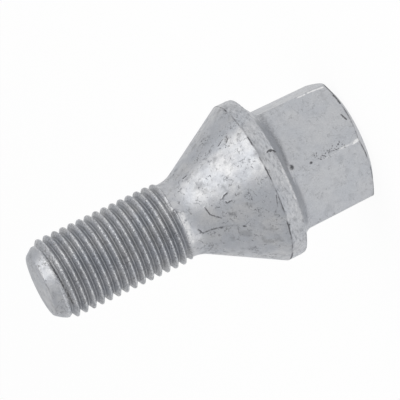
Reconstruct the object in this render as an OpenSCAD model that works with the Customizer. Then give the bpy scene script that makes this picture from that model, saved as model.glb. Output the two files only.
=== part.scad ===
// Wheel bolt with a hexagon head, a collar, a 60 degree seat cone and a threaded shank.
// Forged in one piece, so it is one solid. It stands on the end of its head.
// The origin is the middle of that end, and +Z runs along the axis to the point.

/* [Hexagon head] */
// Width across the flats, half way up the head
across_flats = 16.8; // [14:0.05:19]
// Draft of the flats, wider towards the collar, in degrees
head_draft = 0.8; // [0:0.1:1.5]
// Height from the end of the head to the back corner of the rim
head_h = 12.9; // [10:0.1:16]
// How far the turned envelope takes down the six sharp edges
edge_trim = 0.1; // [0.05:0.05:0.6]
// Diameter of the flat on the end of the head
end_flat_d = 13.6; // [10:0.1:14]
// Slope of the crown from that flat down to the corners, in degrees
crown_angle = 25; // [15:1:35]
// Rounding between the flat and the crown
crown_r = 2; // [0.5:0.1:4]

/* [Collar] */
// Diameter of the rim
collar_d = 23.3; // [20.5:0.1:27]
// Length of the straight rim
rim_h = 2.2; // [1.5:0.1:5]
// Slope of the back of the collar up to the hexagon, in degrees
back_angle = 28; // [20:1:30]
// Rounding of the rim towards the head
back_r = 0.75; // [0.2:0.05:0.9]
// Rounding of the rim towards the cone
front_r = 0.25; // [0.1:0.05:0.6]

/* [Seat cone and neck] */
// Angle across the cone, the seat that centres the wheel, in degrees
cone_angle = 60; // [56:1:70]
// Radius that blends the cone into the neck
neck_r = 4.4; // [2:0.1:5]
// Diameter of the neck
neck_d = 10.95; // [9.8:0.05:11]
// Plain neck left between that radius and the thread
neck_h = 0.4; // [0.2:0.1:3]

/* [Threaded shank] */
// Diameter over the crests of the thread
thread_d = 11.85; // [11.2:0.05:14]
// Length from the end of the neck to the point
thread_h = 20.1; // [14:0.1:45]
// Angle between the run-out of the thread and the axis, in degrees
run_out_angle = 30; // [20:1:45]
// Diameter of the flat on the point
point_d = 9; // [7:0.1:9.8]
// Angle between the chamfer of the point and the axis, in degrees
point_angle = 36; // [25:1:45]
// Rounding between that flat and the chamfer
point_r = 0.6; // [0.1:0.05:0.8]

/* [Hidden] */
$fn = 64;

SIDES = 6;

// Radius over the trimmed edges at both ends of the head, if it had no crown
flat_rad = across_flats / 2;
corner_rad = flat_rad / cos(180 / SIDES);
edge_slope = tan(head_draft) / cos(180 / SIDES);
end_trim_rad = corner_rad - edge_trim - edge_slope * head_h / 2;
root_trim_rad = end_trim_rad + edge_slope * head_h;
// The crown meets the trimmed edges at this height
crown_h = (end_trim_rad - end_flat_d / 2) / (1 / tan(crown_angle) - edge_slope);

// Heights along the axis
front_z = head_h + rim_h;
cone_half = cone_angle / 2;
cone_h = (collar_d - neck_d) / 2 / tan(cone_half);
cone_end_z = front_z + cone_h;
// The blend meets the neck this far past the sharp corner of the cone
neck_blend_h = neck_r * tan(cone_half / 2);
neck_end_z = cone_end_z + neck_blend_h + neck_h;
bolt_h = neck_end_z + thread_h;
run_out_h = (thread_d - neck_d) / 2 / tan(run_out_angle);
point_h = (thread_d - point_d) / 2 / tan(point_angle);
// The sloped back of the collar runs on inside the hexagon to this radius
overlap = 1;
back_inner_rad = flat_rad - overlap;
back_drop = (collar_d / 2 - back_inner_rad) * tan(back_angle);

// Unit vector at an angle from the radial direction
function heading(angle) = [cos(angle), sin(angle)];

// What a rounding of the given radius takes off, or fills in, at a corner.
// The two edges leave the corner at the angles first and second.
module corner_patch(corner, first, second, radius) {
    half = abs(second - first) / 2;
    reach = radius / tan(half);
    centre = corner + heading((first + second) / 2) * radius / sin(half);
    difference() {
        polygon([
            corner,
            corner + heading(first) * reach,
            centre,
            corner + heading(second) * reach
        ]);
        translate(centre)
            circle(radius);
    }
}

// Section of everything that was turned or rolled round the axis
module body_section() {
    difference() {
        union() {
            polygon([
                [0, head_h - back_drop],
                [back_inner_rad, head_h - back_drop],
                [collar_d / 2, head_h],
                [collar_d / 2, front_z],
                [neck_d / 2, cone_end_z],
                [neck_d / 2, neck_end_z],
                [thread_d / 2, neck_end_z + run_out_h],
                [thread_d / 2, bolt_h - point_h],
                [point_d / 2, bolt_h],
                [0, bolt_h]
            ]);
            corner_patch([neck_d / 2, cone_end_z], 90, -90 + cone_half, neck_r);
        }
        corner_patch([collar_d / 2, head_h], 90, 180 + back_angle, back_r);
        corner_patch([collar_d / 2, front_z], 90 + cone_half, 270, front_r);
        corner_patch([point_d / 2, bolt_h], 180, 270 + point_angle, point_r);
    }
}

// Section of the turned envelope that trims the end and the edges of the hexagon
module envelope_section() {
    difference() {
        polygon([
            [0, 0],
            [end_flat_d / 2, 0],
            [end_trim_rad + edge_slope * crown_h, crown_h],
            [root_trim_rad, head_h],
            [0, head_h]
        ]);
        corner_patch([end_flat_d / 2, 0], crown_angle, 180, crown_r);
    }
}

// The turned envelope, cut by six tilted planes; two of the flats face +X and -X
module hexagon_head() {
    difference() {
        rotate_extrude()
            envelope_section();
        for (side = [0 : SIDES - 1])
            rotate(side * 360 / SIDES)
                translate([flat_rad, 0, head_h / 2])
                    rotate([0, head_draft, 0])
                        translate([0, -corner_rad, -head_h])
                            cube([corner_rad, 2 * corner_rad, 2 * head_h]);
    }
}

module wheel_bolt() {
    color("silver")
        union() {
            hexagon_head();
            rotate_extrude()
                body_section();
        }
}

wheel_bolt();
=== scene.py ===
# %% [markdown]
# # A wheel bolt
# A wheel bolt holds a road wheel on its hub. This one is forged from a single bar: a hexagon for
# the socket, a collar, a cone that centres the wheel, and a shank with a rolled thread. The whole
# bolt then gets a thin grey zinc flake coat. It stands on the end of its head, with +Z towards
# the point.
#
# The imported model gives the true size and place. Its shank is a plain cylinder over the crests of
# the thread, and its edges are the clean ones of a drawing. Here one closed mesh takes its place,
# with the real thread, soft forged edges and the marks of handling.

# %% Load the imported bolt
import math

import bmesh
import bpy
from mathutils import Matrix, Vector, bvhtree, geometry, noise


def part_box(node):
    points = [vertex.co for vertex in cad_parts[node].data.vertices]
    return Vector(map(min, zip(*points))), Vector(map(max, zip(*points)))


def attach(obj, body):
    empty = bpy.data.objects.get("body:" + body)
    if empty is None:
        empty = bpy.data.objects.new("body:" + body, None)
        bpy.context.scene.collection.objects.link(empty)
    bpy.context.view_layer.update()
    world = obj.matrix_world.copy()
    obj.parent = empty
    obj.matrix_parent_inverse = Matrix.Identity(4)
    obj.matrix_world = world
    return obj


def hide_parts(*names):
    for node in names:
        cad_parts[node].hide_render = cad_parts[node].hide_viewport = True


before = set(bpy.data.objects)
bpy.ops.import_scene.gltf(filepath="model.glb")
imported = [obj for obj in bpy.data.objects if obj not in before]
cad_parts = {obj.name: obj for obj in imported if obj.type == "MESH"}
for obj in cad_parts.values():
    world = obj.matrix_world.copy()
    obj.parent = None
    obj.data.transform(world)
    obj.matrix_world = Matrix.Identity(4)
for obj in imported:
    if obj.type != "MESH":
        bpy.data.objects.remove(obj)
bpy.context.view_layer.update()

low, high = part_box("wheel_bolt")
print("bolt from", [round(v, 4) for v in low], "to", [round(v, 4) for v in high])

# %% [markdown]
# ## Sizes
# A bolt is drawn in millimetres, so the outline is worked out in millimetres and the finished mesh
# is scaled to metres once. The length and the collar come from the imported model. The rest are the
# sizes of an M12x1.25 bolt with a 17 mm hexagon, less what forging and coating leave off.

# %% Name the sizes of the bolt
MM = 0.001

BOLT_H = (high.z - low.z) / MM
# The forged rim falls this much short of the drawing
RIM_SHORT = 0.04
COLLAR_R = (high.x - low.x) / 2 / MM - RIM_SHORT

FLAT_R = 16.8 / 2
DRAFT = math.tan(math.radians(0.8))
END_FLAT_R = 13.6 / 2
CROWN_SLOPE = math.radians(25)
CROWN_R = 2.0
EDGE_R = 0.4

HEAD_H = 12.9
RIM_H = 2.2
BACK_SLOPE = math.radians(28)
BACK_R = 0.75
FRONT_R = 0.25

CONE_HALF = math.radians(30)
NECK_R = 10.95 / 2
NECK_BLEND_R = 4.4

CREST_R = 11.85 / 2
PITCH = 1.25
POINT_R = 8.9 / 2
POINT_SLOPE = math.radians(36)
POINT_EDGE_R = 0.45

SIDES = 6
CORNER_R = FLAT_R / math.cos(math.pi / SIDES)
print(f"bolt {BOLT_H:.2f} mm long, collar {2 * COLLAR_R:.2f} mm, neck {2 * NECK_R:.2f} mm across")

# %% [markdown]
# ## The camera
# The photograph was taken with a long lens from about half a metre. The bolt lies across the
# picture there, so the camera is rolled on its side instead, and the bolt keeps standing on its
# head. The point is turned a little towards the camera.

# %% Place the camera
CAMERA_AZIMUTH = math.radians(6.1)
CAMERA_TILT = math.radians(12.0)
CAMERA_DISTANCE = 0.53
# How the axis of the bolt runs in the picture: left and down, at this angle below the horizontal
AXIS_SLOPE = math.radians(25.9)
# The middle of the picture: its height on the axis, and how far it lies to the side of it
AIM_HEIGHT = 22.57 * MM
AIM_SIDE = 1.05 * MM
PICTURE_WIDTH = 54.35 * MM
SENSOR = 36.0

to_camera = Vector((
    math.sin(CAMERA_AZIMUTH) * math.cos(CAMERA_TILT),
    -math.cos(CAMERA_AZIMUTH) * math.cos(CAMERA_TILT),
    math.sin(CAMERA_TILT),
))
side = Vector((math.cos(CAMERA_AZIMUTH), math.sin(CAMERA_AZIMUTH), 0))
rise = to_camera.cross(side)
picture_right = -math.cos(AXIS_SLOPE) * rise - math.sin(AXIS_SLOPE) * side
picture_up = -math.sin(AXIS_SLOPE) * rise + math.cos(AXIS_SLOPE) * side
aim = Vector((0, 0, AIM_HEIGHT)) + AIM_SIDE * side

lens = bpy.data.cameras.new("camera")
lens.sensor_width = SENSOR
lens.lens = SENSOR * CAMERA_DISTANCE / PICTURE_WIDTH
lens.clip_start = 0.1
lens.clip_end = 50
camera = bpy.data.objects.new("camera", lens)
turn = Matrix((picture_right, picture_up, to_camera)).transposed().to_4x4()
camera.matrix_world = Matrix.Translation(aim + CAMERA_DISTANCE * to_camera) @ turn
bpy.context.scene.collection.objects.link(camera)
bpy.context.scene.camera = camera
print(f"lens {lens.lens:.0f} mm")

# %% [markdown]
# ## The outline
# Everything but the hexagon and the thread is round, so it is one outline spun about the axis.
# The outline is a walk from corner to corner. Two helpers draw it: one puts points along a straight
# stretch, and one rounds a corner with an arc that touches both stretches.


# %% Helpers for the outline
def straight(start, end, step):
    """Points from start to end, the end left out, at most a step apart."""
    count = max(1, math.ceil((end - start).length / step))
    return [start.lerp(end, i / count) for i in range(count)]


def rounded(before, corner, after, radius, count):
    """Points of the arc that rounds a corner."""
    back = (before - corner).normalized()
    ahead = (after - corner).normalized()
    half = back.angle(ahead) / 2
    centre = corner + (back + ahead).normalized() * radius / math.sin(half)
    first = corner + back * radius / math.tan(half) - centre
    last = corner + ahead * radius / math.tan(half) - centre
    return [centre + first.lerp(last, i / count).normalized() * radius for i in range(count + 1)]


# %% [markdown]
# The rings are close together only where the shape is busy: on the crown, at the root of the
# hexagon and in the blends. A plain stretch needs few of them.

# %% Walk the outline from the end of the head to the neck
FINE = 0.1
MEDIUM = 0.5
COARSE = 0.8

FRONT_Z = HEAD_H + RIM_H
CONE_END_Z = FRONT_Z + (COLLAR_R - NECK_R) / math.tan(CONE_HALF)
NECK_END_Z = CONE_END_Z + NECK_BLEND_R * math.tan(CONE_HALF / 2)
CROWN_H = (CORNER_R - END_FLAT_R) * math.tan(CROWN_SLOPE)
ROOT_Z = HEAD_H - (COLLAR_R - CORNER_R) * math.tan(BACK_SLOPE)
# The flats are still plain up to here, and the blend into the collar starts above it
BLEND_Z = 10.4

end_middle = Vector((0, 0))
end_edge = Vector((END_FLAT_R, 0))
crown_edge = Vector((CORNER_R, CROWN_H))
blend_start = Vector((CORNER_R, BLEND_Z))
root = Vector((CORNER_R, ROOT_Z))
rim_back = Vector((COLLAR_R, HEAD_H))
rim_front = Vector((COLLAR_R, FRONT_Z))
cone_end = Vector((NECK_R, CONE_END_Z))
neck_end = Vector((NECK_R, NECK_END_Z))
neck_beyond = neck_end + Vector((0, 1))

crown_arc = rounded(end_middle, end_edge, crown_edge, CROWN_R, 8)
back_arc = rounded(root, rim_back, rim_front, BACK_R, 8)
front_arc = rounded(rim_back, rim_front, cone_end, FRONT_R, 5)
neck_arc = rounded(rim_front, cone_end, neck_beyond, NECK_BLEND_R, 14)

head_outline = straight(end_middle, crown_arc[0], COARSE) + crown_arc[:-1]
head_outline += straight(crown_arc[-1], crown_edge, FINE)
head_outline += straight(crown_edge, blend_start, MEDIUM)
head_outline += straight(blend_start, root, FINE)
head_outline += straight(root, back_arc[0], FINE) + back_arc[:-1]
head_outline += straight(back_arc[-1], front_arc[0], MEDIUM) + front_arc[:-1]
head_outline += straight(front_arc[-1], neck_arc[0], MEDIUM) + neck_arc
print(len(head_outline), "rings from the head to the neck")

# %% [markdown]
# ## Spinning it
# Spin turns the outline about the axis in equal steps. Where it doesn't climb, its last column is
# merged with its first. Where the outline starts on the axis, the points there pile up, and merging
# doubles later closes that pole.

# %% Spin the head, the collar and the cone
STEPS = 192
AXIS = (0, 0, 1)


def spin_outline(outline, climb=0.0):
    """Spins an outline once about the axis, climbing by so much in the turn."""
    part = bmesh.new()
    points = [part.verts.new((r, 0, z)) for r, z in outline]
    edges = [part.edges.new(pair) for pair in zip(points, points[1:])]
    bmesh.ops.spin(
        part, geom=points + edges, cent=(0, 0, 0), axis=AXIS, angle=2 * math.pi, steps=STEPS,
        dvec=(0, 0, climb / STEPS), use_merge=climb == 0.0, use_duplicate=False,
    )
    return part


head = spin_outline(head_outline)
print(len(head.faces), "faces in the spun head")

# %% [markdown]
# ## The hexagon
# The head was spun as round as the sharp corners of its hexagon. Each point is now drawn in to the
# flat in front of it, and the six edges are left with a small rounding. Where two surfaces cross,
# a smooth minimum or maximum takes the place of the plain one. It leaves the soft edge that a die
# and a coat of zinc leave: a wide one at the root, where the flats run into the collar.


# %% Helpers that blend two surfaces
def smooth_min(a, b, width):
    """The smaller of a and b, with the change from one to the other spread over a width."""
    share = max(0.0, min(1.0, 0.5 + 0.5 * (b - a) / width))
    return b + (a - b) * share - width * share * (1 - share)


def smooth_max(a, b, width):
    return -smooth_min(-a, -b, width)


def ease(low_end, high_end, value):
    """Rises smoothly from 0 to 1 between two ends."""
    share = max(0.0, min(1.0, (value - low_end) / (high_end - low_end)))
    return share * share * (3 - 2 * share)


def hexagon_radius(angle, flat):
    """Distance from the axis to a hexagon with rounded edges, its flats towards +X and -X."""
    sector = 2 * math.pi / SIDES
    off_corner = abs((angle % sector) - sector / 2)
    centre = (flat - EDGE_R) / math.cos(sector / 2)
    touch = math.atan2(EDGE_R * math.sin(sector / 2), centre + EDGE_R * math.cos(sector / 2))
    if off_corner > touch:
        return flat / math.cos(sector / 2 - off_corner)
    return centre * math.cos(off_corner) + math.sqrt(
        EDGE_R ** 2 - (centre * math.sin(off_corner)) ** 2)


# %% Shape the head
CROWN_SOFT = 0.25
ROOT_SOFT = 1.1
# Columns of points are drawn together at the six edges, where the shape turns quickly
GATHER = 0.1
# The dies were a touch out of line, so the hexagon leans to the side by this much in each millimetre
LEAN = 0.008
# and the back of the rim sits this much higher on that side
BACK_SKEW = 0.15

for v in head.verts:
    radius = math.hypot(v.co.x, v.co.y)
    if v.co.z >= HEAD_H or radius < 1e-6:
        continue
    angle = math.atan2(v.co.y, v.co.x)
    loose = 1 - ease(ROOT_Z, HEAD_H, v.co.z)
    angle += GATHER * loose * math.sin(SIDES * angle)
    flat = FLAT_R + DRAFT * (v.co.z - HEAD_H / 2)
    back = COLLAR_R - (HEAD_H - v.co.z) / math.tan(BACK_SLOPE)
    shaped = smooth_min(radius, hexagon_radius(angle, flat), CROWN_SOFT)
    if v.co.z > CROWN_H:
        shaped = smooth_max(shaped, back, ROOT_SOFT)
    shaped = min(shaped, max(radius, back))
    lean = LEAN * max(0, ROOT_Z - v.co.z)
    v.co.x = shaped * math.cos(angle) + lean * side.x
    v.co.y = shaped * math.sin(angle) + lean * side.y

for v in head.verts:
    if ROOT_Z < v.co.z < FRONT_Z:
        sideways = 0.5 + v.co.dot(side) / COLLAR_R / 2
        share = ease(ROOT_Z, HEAD_H - BACK_R, v.co.z) * (1 - ease(HEAD_H, FRONT_Z, v.co.z))
        v.co.z += BACK_SKEW * share * sideways ** 2

edge_reach = max(math.hypot(v.co.x, v.co.y) for v in head.verts if v.co.z < BLEND_Z)
print(f"the edges of the hexagon reach {edge_reach:.2f} mm from the axis")

# %% [markdown]
# ## The thread
# A thread is one groove that climbs round the shank, so it is a single outline of many teeth, spun
# once while it climbs by one pitch. Each tooth then meets the next one at the seam, and merging
# doubles closes it. Turned anticlockwise while climbing towards the point, it is a right-hand
# thread. The tooth has 60 degree flanks, a root rounded by the roller and a narrow crest with the
# shallow furrow that rolling leaves where the metal of the two flanks closes up.

# %% Draw one tooth
ROOT_ROUND = 0.18
# The coat fills the root by this much
COAT = 0.02
# Half of the crest: the furrow in the middle, the lip beside it and the start of the flank
CREST = [(0.0, 0.025), (0.03, 0.012), (0.055, 0.0), (0.085, 0.014), (0.12, 0.055)]
# Height on the axis of one crest, on the side that the outline is drawn on
CREST_Z = 36.44

sharp_depth = PITCH / 2 * math.sqrt(3)
root_depth = sharp_depth * 7 / 8 - ROOT_ROUND - COAT
root_side = [(PITCH / 2 - ROOT_ROUND * math.sin(math.radians(a)),
              root_depth - ROOT_ROUND * (1 - math.cos(math.radians(a)))) for a in (60, 30)]
half_tooth = CREST + root_side
tooth = [(-along, depth) for along, depth in reversed(half_tooth[1:])] + half_tooth
tooth.append((PITCH / 2, root_depth))
print(f"thread {root_depth:.2f} mm deep, {len(tooth)} points a tooth")

# %% Spin the thread
THREAD_START_Z = NECK_END_Z
# The chamfer of the point comes down to the root of the thread at this distance from the end, and
# the thread goes on for a tenth of that distance
groove_end_h = (CREST_R - root_depth - POINT_R) / math.tan(POINT_SLOPE)
CHAMFER_Z = BOLT_H - 0.9 * groove_end_h

first_tooth = math.floor((THREAD_START_Z - CREST_Z) / PITCH) - 1
last_tooth = math.ceil((CHAMFER_Z - CREST_Z) / PITCH) + 1
thread_outline = []
for number in range(first_tooth, last_tooth):
    for along, depth in tooth:
        thread_outline.append((CREST_R - depth, CREST_Z + number * PITCH + along))
thread = spin_outline(thread_outline, climb=PITCH)
print(last_tooth - first_tooth, "teeth along the shank")

# %% [markdown]
# The thread fades at both ends. Towards the neck the rollers lift out of the metal: the last turn
# loses half its height within a millimetre and stops at a low shoulder, which lies a little askew
# and has a small step where the turn ends. At the point the crests sink to the bar that the bolt was
# rolled from, and then to the chamfer. Past either end, points are laid on one level ring, and the
# rows that fall together there vanish when doubles are merged.

# %% Fade the thread into the neck and into the chamfer
CHAMFER_SOFT = 0.12
# The shoulder at the neck: its middle height, its tilt, its step and the turn of that step
SHOULDER_Z = 27.0
SHOULDER_TILT = 0.3
SHOULDER_STEP = 0.22
SHOULDER_TURN = CAMERA_AZIMUTH + math.radians(13 - 90)
SHOULDER_RISE = 0.5
SHOULDER_H = 0.12
RUN_OUT_H = 0.9
# Near the point the crests sink to the blank
BLANK_R = 5.43
LAST_CREST_Z = 45.35
LAST_CREST_H = 0.45
ROLLED_WAVER = 0.018
WAVER_SIZE = 1.7


def chamfer_radius(z):
    return POINT_R + (BOLT_H - z) * math.tan(POINT_SLOPE)


def crest_radius(z):
    """Radius over the crests, with the blank and the chamfer of the point."""
    sunk = ease(LAST_CREST_Z, LAST_CREST_Z + LAST_CREST_H, z)
    return smooth_min(CREST_R + (BLANK_R - CREST_R) * sunk, chamfer_radius(z), CHAMFER_SOFT)


def rolled_share(place):
    """0 on the neck, 1 where the thread has its full depth."""
    turn = SHOULDER_TURN - math.atan2(place.y, place.x)
    start = SHOULDER_Z + SHOULDER_TILT * math.cos(turn) + SHOULDER_STEP * (turn / 2 / math.pi % 1)
    start = max(start, THREAD_START_Z)
    return (SHOULDER_RISE * ease(start, start + SHOULDER_H, place.z)
            + (1 - SHOULDER_RISE) * ease(start, start + RUN_OUT_H, place.z))


for v in thread.verts:
    v.co.z = max(THREAD_START_Z, min(CHAMFER_Z, v.co.z))
    radius = math.hypot(v.co.x, v.co.y)
    waver = ROLLED_WAVER * (noise.noise(v.co / WAVER_SIZE) - 1) * ease(NECK_R, CREST_R, radius)
    shaped = NECK_R + rolled_share(v.co) * (radius + waver - NECK_R)
    if v.co.z >= CHAMFER_Z:
        shaped = chamfer_radius(CHAMFER_Z)
    else:
        shaped = smooth_min(shaped, crest_radius(v.co.z), CHAMFER_SOFT / 2)
    v.co.x *= shaped / radius
    v.co.y *= shaped / radius

crest_reach = max(math.hypot(v.co.x, v.co.y) for v in thread.verts)
print(f"thread {2 * crest_reach:.2f} mm across the crests")

# %% [markdown]
# ## The point
# The bar was cut off and turned to a chamfer before rolling, so the point is a flat disc with a
# rounded edge and a short cone. It starts on the same level ring that the thread ends on.

# %% Spin the point and close the bolt
chamfer_start = Vector((chamfer_radius(CHAMFER_Z), CHAMFER_Z))
point_edge = Vector((POINT_R, BOLT_H))
point_middle = Vector((0, BOLT_H))
point_arc = rounded(chamfer_start, point_edge, point_middle, POINT_EDGE_R, 6)
point_outline = straight(chamfer_start, point_arc[0], FINE) + point_arc[:-1]
point_outline += straight(point_arc[-1], point_middle, COARSE) + [point_middle]
point = spin_outline(point_outline)

bolt = bmesh.new()
for part in (head, thread, point):
    carrier = bpy.data.meshes.new("part")
    part.to_mesh(carrier)
    part.free()
    bolt.from_mesh(carrier)
    bpy.data.meshes.remove(carrier)

MERGE = 0.002
bmesh.ops.remove_doubles(bolt, verts=bolt.verts, dist=MERGE)
bmesh.ops.dissolve_degenerate(bolt, edges=bolt.edges, dist=MERGE / 10)
open_edges = [e for e in bolt.edges if not e.is_manifold]
print(len(bolt.faces), "faces,", len(open_edges), "open edges")

# %% [markdown]
# ## Marks of handling
# Such bolts are tipped from box to box, so the coat is scratched, the edges are nicked, and one
# forging pit shows at the root of the hexagon. Marks like these could be painted on with a picture,
# but pressed into the mesh they catch the light from every side. A mark is a short walk of points on
# the surface, each given by its turn from the camera's side in degrees and its height in
# millimetres. Shallow, wide marks are smudges, and the material darkens them; the wide one in the
# root of the hexagon is painted shade.

# %% List the marks
# Name: half width, depth, points
MARKS = {
    "forging pit": (0.64, 0.26, [(-2.4, 11.42), (-2.2, 11.4)]),
    "nick on the rim": (0.2, 0.16, [(14.2, 13.9), (14.9, 13.45), (13.5, 13.0), (12.2, 12.9)]),
    "bottom of the nick": (0.3, 0.1, [(14.3, 13.45), (14.0, 13.4)]),
    "hooked scratch": (0.22, 0.045, [(-1.3, 23.8), (-10.9, 23.6), (-15.5, 23.0), (-18.5, 22.5)]),
    "long scratch": (0.22, 0.042, [(-25.4, 25.6), (-32.8, 25.2), (-30.0, 24.3), (-29.1, 22.7)]),
    "end of the long scratch": (0.4, 0.022, [(-29.1, 22.7), (-29.3, 22.0), (-30.5, 20.9)]),
    "knot in the long scratch": (0.4, 0.04, [(-29.6, 22.95), (-29.9, 22.8)]),
    "grey knock on the cone": (0.7, 0.03, [(-17.5, 21.3), (-18.5, 20.8)]),
    "dot low on the cone": (0.26, 0.06, [(-32.6, 20.25), (-32.9, 20.2)]),
    "second curl": (0.18, 0.045, [(-4.5, 21.2), (-6.5, 21.1), (-5.8, 20.7)]),
    "dash up on the cone": (0.2, 0.05, [(47.3, 24.3), (46.0, 23.8)]),
    # Painted shade: a wide, shallow dark mark along the root of the hexagon on its upper side
    "painted shade in the root": (1.3, 0.024, [
        (52.0, 11.2), (42.0, 11.1), (32.0, 11.1), (22.0, 11.2), (11.0, 11.5), (2.0, 11.9)]),
    "curl on the cone": (0.2, 0.048, [(2.1, 20.6), (1.2, 21.1), (-0.8, 21.4)]),
    "short curl": (0.17, 0.035, [(-5.5, 20.4), (-6.5, 20.9)]),
    "bent scratch": (0.18, 0.05, [(43.5, 17.1), (40.5, 17.2), (38.7, 17.6)]),
    "slanting scratch": (0.15, 0.048, [(43.7, 17.7), (42.4, 18.6)]),
    "dash low on the cone": (0.2, 0.055, [(-32.2, 20.3), (-33.3, 20.0)]),
    "scratch low on the cone": (0.14, 0.03, [(-32.4, 20.1), (-28.9, 19.4)]),
    "scratch along the rim": (0.17, 0.04, [(-14.0, 15.3), (-22.0, 15.6)]),
    "dot on the rim": (0.3, 0.06, [(-38.1, 15.0), (-38.3, 15.1)]),
    "dent in the crown": (0.32, 0.06, [(42.0, 1.0), (38.0, 0.85), (32.9, 0.8)]),
    "scratch on the crown": (0.24, 0.05, [(21.4, 1.55), (15.3, 1.3)]),
    "dot on the edge": (0.32, 0.06, [(-5.9, 8.63), (-5.8, 8.7)]),
    "nick at the run-out": (0.22, 0.04, [(14.0, 27.5), (9.0, 27.4)]),
    "ragged start of the thread": (0.48, 0.045, [
        (22.0, 45.9), (16.5, 45.84), (0.9, 45.68), (-15.8, 45.5), (-34.2, 45.32), (-47.3, 45.14)]),
    "dirt round the point": (0.13, 0.035, [(12.2, 47.4), (-8.2, 47.36), (-29.7, 47.33)]),
    "dot on the point": (0.16, 0.04, [(4.0, 47.25), (5.5, 47.25)]),
    "second dot on the point": (0.16, 0.04, [(32.0, 47.2), (30.0, 47.2)]),
}
print(len(MARKS), "marks by name")

# %% [markdown]
# The edge of the hexagon that faces the camera has met other bolts most often. A row of small dents
# runs down it. Their places and widths stray by a smooth noise, so each run gives the same ones.

# %% Add the dents along the edge
EDGE_DENTS = 38
EDGE_TURN = -4.6
EDGE_TOP_Z = 7.9
DENT_STEP = 0.12
DENT_DEPTH = 0.042
# How far the dents stray, in degrees to the side and in millimetres along the edge
STRAY_TURN = 5
STRAY_Z = 0.4

for step in range(EDGE_DENTS):
    along = noise.noise((step * 0.7, 3.1, 0))
    across = noise.noise((step * 0.9, 7.7, 0))
    spot = (EDGE_TURN + STRAY_TURN * across, EDGE_TOP_Z - DENT_STEP * step + STRAY_Z * along)
    end = (spot[0] + 1.5 * across, spot[1] - 0.08)
    MARKS[f"edge dent {step}"] = (0.15 + 0.12 * along, DENT_DEPTH, [spot, end])
print(f"{EDGE_DENTS} dents, down to {EDGE_TOP_Z - DENT_STEP * EDGE_DENTS:.1f} mm")

# %% [markdown]
# In some places the coat is worn flat, and shines. The others here are painted highlights and
# painted light, and their names say so. Each is given in the same way as a mark.

# %% List the worn places and the painted highlights
RUBS_AND_HIGHLIGHTS = {
    # Painted highlight: a pale streak up the edge of the hexagon nearest the camera, from the crown
    "painted highlight at the crown": (0.4, 0.05, [(-6.4, 2.2), (-5.7, 1.5)]),
    "tail of that highlight": (0.26, 0.028, [(-5.9, 4.2), (-6.2, 2.2)]),
    # Painted glints: pale dashes up the far edge of the hexagon, towards the crown
    "painted glint on the far edge": (0.22, 0.045, [(53.4, 5.4), (53.4, 4.4)]),
    "painted glint near the crown": (0.22, 0.045, [(53.4, 3.9), (52.9, 2.8), (52.2, 1.7)]),
    # Painted highlight: pale colour along the rounded back edge of the rim
    "painted highlight on the rim": (0.35, 0.025, [(1.0, 13.15), (-9.8, 13.05), (-22.0, 13.05)]),
    "specks on the edge": (0.16, 0.02, [(-7.6, 6.4), (-7.4, 3.6)]),
    "burr at the point": (0.16, 0.03, [(26.0, 46.0), (7.0, 46.0)]),
    # Painted highlight: a pale, smooth strip round the neck next to the shoulder of the thread
    "painted highlight on the neck": (1.05, 0.033, [(3.0, 27.0), (-21.5, 26.95), (-40.0, 27.0)]),
    # Painted light: pale colour along the root of the hexagon on its lower side
    "painted light on the lower root": (0.7, 0.012, [(-10.0, 11.9), (-30.0, 11.9), (-48.0, 11.9)]),
}
# A mark of this depth is black at the bottom, and a rub of this depth is bare metal; a painted
# highlight of this depth is as pale
FULL_DEPTH = 0.065
print(len(MARKS), "marks and", len(RUBS_AND_HIGHLIGHTS), "rubbed places")

# %% [markdown]
# A ray from outside finds each point of a walk on the surface. Only the faces near a mark are
# split, so the rest of the mesh stays light.

# %% Find the marks on the surface
outside = bvhtree.BVHTree.FromBMesh(bolt)


def on_surface(turn, height):
    """The point of the surface at a turn and a height, found by a ray from outside."""
    angle = CAMERA_AZIMUTH + math.radians(turn - 90)
    outward = Vector((math.cos(angle), math.sin(angle), 0))
    return outside.ray_cast(2 * COLLAR_R * outward + Vector((0, 0, height)), -outward)[0]


def depth_share(point, walk, width):
    """1 on the walk, falling to 0 at a width from it."""
    gaps = []
    for start, end in zip(walk, walk[1:]):
        _, share = geometry.intersect_point_line(point, start, end)
        nearest = start.lerp(end, max(0.0, min(1.0, share)))
        gaps.append((point - nearest).length)
    return 1 - ease(0, width, min(gaps))


dents = []
for shines, marks in ((False, MARKS), (True, RUBS_AND_HIGHLIGHTS)):
    for width, depth, places in marks.values():
        walk = [on_surface(turn, height) for turn, height in places]
        dents.append((shines, width, depth, walk))
print(len(dents), "walks on the surface")

# %% Split the faces under the marks
# Edges are split until they are about this long
CELL = 0.1
# Faces this far outside a mark are split too
SKIN = 0.1
SPLITS = 3
# A mark with a greater half width than this is soft, and one split is enough for it
WIDE = 0.65

near = bolt.faces.layers.int.new("near")
bolt.faces.ensure_lookup_table()
for _, width, _, walk in dents:
    splits = 1 if width > WIDE else SPLITS
    for start, end in zip(walk, walk[1:]):
        for tread in straight(start, end, width) + [end]:
            for _, _, number, _ in outside.find_nearest_range(tread, width + SKIN):
                face = bolt.faces[number]
                face[near] = max(face[near], splits)

for split in range(SPLITS):
    long_edges = {e for f in bolt.faces if f[near] > split for e in f.edges
                  if e.calc_length() > CELL}
    bmesh.ops.subdivide_edges(bolt, edges=list(long_edges), cuts=1, use_grid_fill=True)
print(len(bolt.faces), "faces after splitting")

# %% Press the marks in
# No mark reaches further than this in height from its first point
MARK_REACH = 4

bolt.normal_update()
# The dent value darkens the marks, and also lays the painted shade in the root of the hexagon
dark = bolt.verts.layers.float.new("dent")
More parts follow.
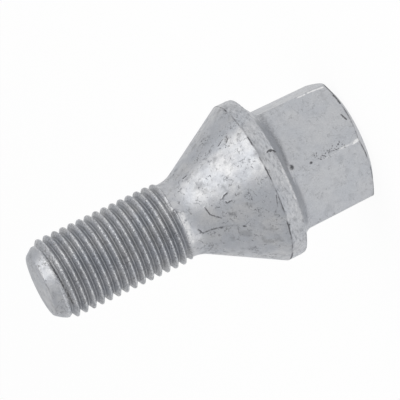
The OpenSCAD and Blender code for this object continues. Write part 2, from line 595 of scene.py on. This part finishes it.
# The rub value also carries the painted highlights and painted light listed with the rubs
bright = bolt.verts.layers.float.new("rub")
for v in {v for f in bolt.faces if f[near] for v in f.verts}:
    press = 0
    for shines, width, depth, walk in dents:
        if abs(v.co.z - walk[0].z) > MARK_REACH:
            continue
        share = depth_share(v.co, walk, width)
        layer = bright if shines else dark
        v[layer] = max(v[layer], share * min(1, depth / FULL_DEPTH))
        press = max(press, depth * share)
    v.co -= press * v.normal
print(sum(v[dark] > 0 for v in bolt.verts), "points pressed in by marks,",
      sum(v[bright] > 0 for v in bolt.verts), "by rubs")

# %% [markdown]
# ## Where dirt and painted shade gather
# More values ride on the points for the material: where the surface was rolled, how deep a point
# lies in the groove of the thread, where the rim is, and the line where the turned crown meets the
# forged flats. Dirt stays in that line; deep in the groove dirt and painted shade are laid.

# %% Mark the thread, the rim and the line round the crown
LINE_WIDTH = 0.11
# Towards the chamfer the rolled look fades over this height
ROLLED_FADE = 1

rolled = bolt.verts.layers.float.new("rolled")
groove = bolt.verts.layers.float.new("groove")
line = bolt.verts.layers.float.new("line")
rim = bolt.verts.layers.float.new("rim")
for v in bolt.verts:
    radius = math.hypot(v.co.x, v.co.y)
    if THREAD_START_Z < v.co.z < CHAMFER_Z:
        v[rolled] = rolled_share(v.co) * (1 - ease(CHAMFER_Z - ROLLED_FADE, CHAMFER_Z, v.co.z))
        v[groove] = v[rolled] * (min(CREST_R, chamfer_radius(v.co.z)) - radius) / root_depth
    elif v.co.z < HEAD_H:
        flat = FLAT_R + DRAFT * (v.co.z - HEAD_H / 2)
        crown = END_FLAT_R + v.co.z / math.tan(CROWN_SLOPE)
        gap = crown - hexagon_radius(math.atan2(v.co.y, v.co.x), flat)
        v[line] = math.exp(-(gap * math.sin(CROWN_SLOPE) / LINE_WIDTH) ** 2)
    if HEAD_H - BACK_R < v.co.z < FRONT_Z + FRONT_R:
        v[rim] = ease(COLLAR_R - BACK_R, COLLAR_R, radius)
print("values on the points:", ", ".join(layer.name for layer in bolt.verts.layers.float))

# %% [markdown]
# ## Finished mesh
# The mesh is scaled from millimetres to metres, its faces are turned outwards, and it is shaded
# smooth: every edge of the real bolt is rounded, and so is every edge here.

# %% Turn the bmesh into an object
bmesh.ops.recalc_face_normals(bolt, faces=bolt.faces)
bmesh.ops.scale(bolt, vec=(MM, MM, MM), verts=bolt.verts)
for face in bolt.faces:
    face.smooth = True
skin = bpy.data.meshes.new("forged_bolt")
bolt.to_mesh(skin)
print(sum(len(p.vertices) - 2 for p in skin.polygons), "triangles, volume",
      round(bolt.calc_volume() / MM ** 3), "mm3")
bolt.free()
forged_bolt = bpy.data.objects.new("forged_bolt", skin)
bpy.context.scene.collection.objects.link(forged_bolt)
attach(forged_bolt, "root")
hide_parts("wheel_bolt")

# %% [markdown]
# ## Zinc flake coat
# The coat is a thin layer of zinc and aluminium flakes in a grey binder. It looks like dull
# metal, a touch blue, and it is never even: cloudy patches, a fine sparkle, dark flecks and hair
# scratches where it is thin, and dirt in every groove, laid on with painted shade there and painted
# glints on the crests. All of it is made of noise on the object's own coordinates, so nothing needs
# unwrapping and the pattern has its true size in millimetres.
# A few short helpers keep the node tree readable.

# %% Helpers for the material
coat = bpy.data.materials.new("zinc_flake")
coat.use_nodes = True
tree = coat.node_tree


def add(kind, inputs, **settings):
    """Adds a node; an input is a value or an output of another node."""
    node = tree.nodes.new("ShaderNode" + kind)
    for name, value in settings.items():
        setattr(node, name, value)
    for socket, value in inputs.items():
        if isinstance(value, bpy.types.NodeSocket):
            tree.links.new(value, node.inputs[socket])
        else:
            node.inputs[socket].default_value = value
    return node


def grain(size, detail=2.0, seed=0.0, where=None):
    """Noise with features of a size in millimetres; each seed gives another pattern."""
    return add("TexNoise", {"Vector": where or place, "W": seed, "Scale": 1 / (size * MM),
                            "Detail": detail}, noise_dimensions="4D").outputs[0]


def ramp(value, low_end, high_end, low_value=0.0, high_value=1.0):
    return add("MapRange", {"Value": value, "From Min": low_end, "From Max": high_end,
                            "To Min": low_value, "To Max": high_value},
               interpolation_type="SMOOTHSTEP").outputs["Result"]


def calc(operation, a, b=0.0):
    return add("Math", {0: a, 1: b}, operation=operation).outputs[0]


def blend(share, a, b):
    return add("Mix", {0: share, 6: a, 7: b}, data_type="RGBA").outputs[2]


def point_value(name):
    return add("Attribute", {}, attribute_name=name).outputs["Fac"]


def hairs(size, width, seed, density):
    """Thin winding lines where a noise crosses its middle, cut into short pieces in patches."""
    winding = calc("ABSOLUTE", calc("SUBTRACT", grain(size, 3.0, seed), 0.5))
    pieces = ramp(grain(size * 0.7, 1.0, seed + 5), 0.48, 0.56)
    patches = ramp(grain(size * 3, 2.0, seed + 9), 1 - density, 1.12 - density)
    return calc("MULTIPLY", ramp(winding, 0.0, width, 1.0, 0.0), calc("MULTIPLY", pieces, patches))


# %% [markdown]
# Noises of five sizes carry the coat, from clouds of a few millimetres down to the sparkle of single
# flakes. The values that ride on the points say where the thread, the rim, the marks, the rubs and
# the painted highlights are. The head was handled less than the shank, so its pattern is fainter.

# %% Read the noises and the values on the points
place = add("TexCoord", {}).outputs["Object"]
clouds = grain(3.2, 3.0)
mottle = grain(0.9, 4.0, 1.0)
speck = grain(0.14, 2.0, 2.0)
crinkle = grain(0.3, 3.0, 8.0)
along_rim = add("VectorMath", {0: place, 1: (1, 1, 2.5)}, operation="MULTIPLY").outputs[0]
streaks = grain(0.7, 5.0, 7.0, along_rim)
height = add("SeparateXYZ", {0: place}).outputs["Z"]

on_thread = point_value("rolled")
in_groove = point_value("groove")
on_crest = calc("MULTIPLY", on_thread, ramp(in_groove, 0.12, 0.4, 1.0, 0.0))
on_rim = point_value("rim")
on_line = point_value("line")
on_shank = ramp(height, (HEAD_H + RIM_H / 2) * MM, FRONT_Z * MM, 0.45, 1.0)
# This also carries the painted shade in the root of the hexagon
dented = calc("MULTIPLY", point_value("dent"), ramp(grain(0.25, 2.0, 19.0), 0.35, 0.6, 0.7, 1.15))
rub_and_highlight = calc("MULTIPLY", point_value("rub"), ramp(crinkle, 0.3, 0.6, 0.3, 1.0))
print(len(tree.nodes), "nodes for the sources")

# %% [markdown]
# Dirt is one value from 0 to 1; deep in the thread and in the root of the hexagon it also carries
# painted shade. It darkens the colour, dulls the shine and cuts a little into the surface. The first
# part of it is loose: hairs, dots and smudges all over, and streaks that run round the rim, where it
# rolled on other bolts.

# %% Scatter hairs, dots and smudges
flecks = calc("MAXIMUM", hairs(0.6, 0.04, 11.0, 0.54),
              calc("MULTIPLY", hairs(1.3, 0.02, 12.0, 0.56), 0.8))
dots = calc("MULTIPLY", ramp(grain(0.17, 1.0, 4.0), 0.66, 0.76),
            ramp(grain(2.4, 2.0, 13.0), 0.5, 0.62))
dirt = calc("MAXIMUM", calc("MULTIPLY", flecks, 0.8), calc("MULTIPLY", dots, 0.35))
smudges = ramp(grain(1.3, 4.0, 18.0), 0.54, 0.7, 0.0, 0.3)
dirt = calc("MULTIPLY", calc("MAXIMUM", dirt, smudges), on_shank)
rim_streaks = calc("MULTIPLY", on_rim, ramp(streaks, 0.5, 0.68, 0.0, 0.4))
dirt = calc("MAXIMUM", dirt, rim_streaks)
print(len(tree.nodes), "nodes with the loose dirt")

# %% [markdown]
# The rest of the dirt has its place: in the line between the rim and the cone, which wavers a
# little, in the line round the crown, deep in the thread, and at the bottom of each mark. Deep in
# the thread it is partly painted shade, and the wide mark in the root of the hexagon is painted
# shade.

# %% Lay dirt in the lines, the thread and the marks
waver = calc("MULTIPLY", calc("SUBTRACT", grain(1.1, 2.0, 14.0), 0.5), 0.35 * MM)
off_edge = calc("ABSOLUTE", calc("SUBTRACT", calc("ADD", height, waver), FRONT_Z * MM))
edge_line = ramp(off_edge, 0.03 * MM, 0.16 * MM, 1.0, 0.0)
line_dirt = calc("MULTIPLY", calc("MAXIMUM", on_line, edge_line),
                 ramp(grain(1.6, 3.0, 6.0), 0.38, 0.6, 0.2, 1.0))
# Painted shade with the dirt: the deepest part of each groove is darkened, where shade falls
groove_dirt_and_shade = ramp(in_groove, 0.5, 1.0, 0.0, 0.4)
thread_specks = calc("MULTIPLY", on_thread, ramp(grain(0.25, 3.0, 15.0), 0.48, 0.68, 0.0, 0.68))
for more in (line_dirt, groove_dirt_and_shade, thread_specks, ramp(dented, 0.05, 0.85)):
    dirt = calc("MAXIMUM", dirt, more)
print(len(tree.nodes), "nodes with all the dirt")

# %% [markdown]
# The colour starts as two greys in clouds and gets darker or paler layer by layer. Dirt, with the
# painted shade in it, and bare metal, with the painted highlights and painted light, come last,
# because they cover everything else.

# %% Colour the coat
cloudy = calc("MULTIPLY", calc("SUBTRACT", ramp(clouds, 0.35, 0.65), 0.5), on_shank)
base = blend(calc("ADD", cloudy, 0.5), (0.455, 0.475, 0.512, 1), (0.54, 0.545, 0.558, 1))
mottled = calc("MULTIPLY", ramp(mottle, 0.35, 0.7, 0.0, 0.6), on_shank)
base = blend(mottled, base, (0.44, 0.45, 0.482, 1))
base = blend(ramp(speck, 0.5, 0.75, 0.0, 0.5), base, (0.34, 0.345, 0.36, 1))
base = blend(ramp(speck, 0.42, 0.25, 0.0, 0.4), base, (0.7, 0.7, 0.7, 1))
bright_streaks = calc("MULTIPLY", on_rim, ramp(streaks, 0.46, 0.34, 0.0, 0.25))
base = blend(bright_streaks, base, (0.75, 0.75, 0.75, 1))
# Painted glints: pale specks on the crests of the thread
painted_crest_glints = calc("MULTIPLY", on_crest, ramp(grain(0.2, 3.0, 16.0), 0.52, 0.66, 0.0, 0.8))
base = blend(painted_crest_glints, base, (0.85, 0.85, 0.85, 1))
# The dark colour of the dirt, which also lays the painted shade in the grooves and the root
base = blend(calc("MULTIPLY", dirt, 0.85), base, (0.07, 0.07, 0.075, 1))
# Pale colour of the rubs, which also lays the painted highlights and painted light
base = blend(ramp(rub_and_highlight, 0.03, 0.65), base, (0.82, 0.82, 0.82, 1))
print(len(tree.nodes), "nodes with the colour")

# %% [markdown]
# The coat is dull, a rub less so and dirt more so. Bumps are chained from the widest to the finest,
# and each adds its own height to the one before. Waves and pebbles are the forged skin under the
# coat, wrinkles are strongest on the thread, and the drawn lines lie on the rim.

# %% Set the shine and the bumps
roughness = ramp(mottle, 0.3, 0.7, 0.36, 0.48)
roughness = calc("ADD", roughness, calc("MULTIPLY", dirt, 0.25))
roughness = calc("SUBTRACT", roughness, calc("MULTIPLY", rub_and_highlight, 0.12))
roughness = calc("SUBTRACT", roughness, calc("MULTIPLY", on_crest, 0.06))


def bump(height_map, strength, distance, under=None, invert=False):
    """Bumps of a height in millimetres, on top of the bumps under them."""
    inputs = {"Height": height_map, "Strength": strength, "Distance": distance * MM}
    if under:
        inputs["Normal"] = under
    return add("Bump", inputs, invert=invert).outputs[0]


waves = bump(clouds, 0.25, 0.12)
pebbles = bump(mottle, 0.4, 0.07, waves)
rolled_crinkle = calc("MULTIPLY", crinkle, calc("ADD", calc("MULTIPLY", on_thread, 1.5), 1.0))
wrinkles = bump(rolled_crinkle, 0.4, 0.04, pebbles)
sparkle = bump(speck, 0.35, 0.015, wrinkles)
drawn = bump(calc("MULTIPLY", streaks, on_rim), 0.5, 0.06, sparkle)
cuts = bump(dirt, 0.3, 0.03, drawn, invert=True)
print(len(tree.nodes), "nodes with the shine and the bumps")

# %% Join the coat to its shader
shader = tree.nodes["Principled BSDF"]
shader.inputs["Metallic"].default_value = 0.9
tree.links.new(base, shader.inputs["Base Color"])
tree.links.new(roughness, shader.inputs["Roughness"])
tree.links.new(cuts, shader.inputs["Normal"])
skin.materials.append(coat)
print(len(tree.nodes), "nodes in the coat")

# %% [markdown]
# ## White surroundings
# The bolt lies on a white ground in the photograph, and its bright metal mirrors that white. So a
# wide floor with a low wall round it takes the whole view. It is pale paper that also glows, but
# only for rays that come from the camera, from a shiny surface or through glass. The light that
# falls on the bolt stays that of the lamps, and the floor still takes the shadow.

# %% Lay the floor
FLOOR_R = 3.0
WALL_H = 0.8
# The floor lies a hair below the bolt, so that the two faces aren't in one plane
FLOOR_GAP = 0.02 * MM

ground = bmesh.new()
bmesh.ops.create_circle(ground, cap_ends=True, radius=FLOOR_R, segments=96)
wall = bmesh.ops.extrude_edge_only(ground, edges=[e for e in ground.edges if e.is_boundary])
wall_top = [v for v in wall["geom"] if isinstance(v, bmesh.types.BMVert)]
bmesh.ops.translate(ground, verts=wall_top, vec=(0, 0, WALL_H))
floor_mesh = bpy.data.meshes.new("floor")
ground.to_mesh(floor_mesh)
ground.free()
floor = bpy.data.objects.new("floor", floor_mesh)
floor.location.z = -FLOOR_GAP
bpy.context.scene.collection.objects.link(floor)
print(f"floor {2 * FLOOR_R:.0f} m across")

# %% Make the paper of the floor
# How much of the glow those rays see, over the plain paper
GLOW_SHARE = 0.94

paper = bpy.data.materials.new("white_floor")
paper.use_nodes = True
nodes = paper.node_tree.nodes
links = paper.node_tree.links
nodes["Principled BSDF"].inputs["Base Color"].default_value = (0.9, 0.9, 0.9, 1)
nodes["Principled BSDF"].inputs["Roughness"].default_value = 0.9
nodes["Principled BSDF"].inputs["Specular IOR Level"].default_value = 0
glow = nodes.new("ShaderNodeEmission")
path = nodes.new("ShaderNodeLightPath")
mix = nodes.new("ShaderNodeMixShader")
seen = path.outputs["Is Camera Ray"]
for ray in ("Is Glossy Ray", "Is Transmission Ray"):
    either = nodes.new("ShaderNodeMath")
    either.operation = "MAXIMUM"
    links.new(seen, either.inputs[0])
    links.new(path.outputs[ray], either.inputs[1])
    seen = either.outputs[0]
strength = nodes.new("ShaderNodeMath")
strength.operation = "MULTIPLY"
strength.inputs[1].default_value = GLOW_SHARE
links.new(seen, strength.inputs[0])
links.new(strength.outputs[0], mix.inputs[0])
links.new(nodes["Principled BSDF"].outputs[0], mix.inputs[1])
links.new(glow.outputs[0], mix.inputs[2])
links.new(mix.outputs[0], nodes["Material Output"].inputs[0])
floor_mesh.materials.append(paper)
print(len(nodes), "nodes in the paper")

# %% [markdown]
# ## Light
# A large soft lamp from the right and above gives the long highlight down the cone. A weaker one
# from above lifts the side that faces up, a small one from the left gives the thread a second edge
# of light, and a plain white world fills in the rest.

# %% Light the bolt
world = bpy.data.worlds.new("studio")
bpy.context.scene.world = world
world.use_nodes = True
sky = world.node_tree.nodes["Background"]
sky.inputs["Color"].default_value = (1, 1, 1, 1)
sky.inputs["Strength"].default_value = 0.7


def softbox(name, azimuth, elevation, distance, width, height, radiance, colour=(1, 1, 1)):
    """A rectangular lamp that faces the bolt; azimuth is counted from -Y towards +X."""
    lamp = bpy.data.lights.new(name, "AREA")
    lamp.shape = "RECTANGLE"
    lamp.size = width
    lamp.size_y = height
    lamp.energy = radiance * math.pi * width * height
    lamp.color = colour
    item = bpy.data.objects.new(name, lamp)
    a = math.radians(azimuth)
    e = math.radians(elevation)
    away = Vector((math.sin(a) * math.cos(e), -math.cos(a) * math.cos(e), math.sin(e)))
    item.location = Vector((0, 0, BOLT_H * MM / 2)) + distance * away
    item.rotation_euler = away.to_track_quat("Z", "Y").to_euler()
    bpy.context.scene.collection.objects.link(item)
    print(f"{name} lamp, {lamp.energy:.2f} W")


softbox("key", azimuth=58, elevation=43, distance=0.5, width=0.56, height=0.42, radiance=1.3,
        colour=(1, 0.985, 0.955))
softbox("top", azimuth=90, elevation=82, distance=0.6, width=0.5, height=0.5, radiance=0.45)
softbox("fill", azimuth=-58, elevation=8, distance=0.6, width=0.35, height=0.2, radiance=0.8)

bpy.context.scene.view_settings.view_transform = "Standard"
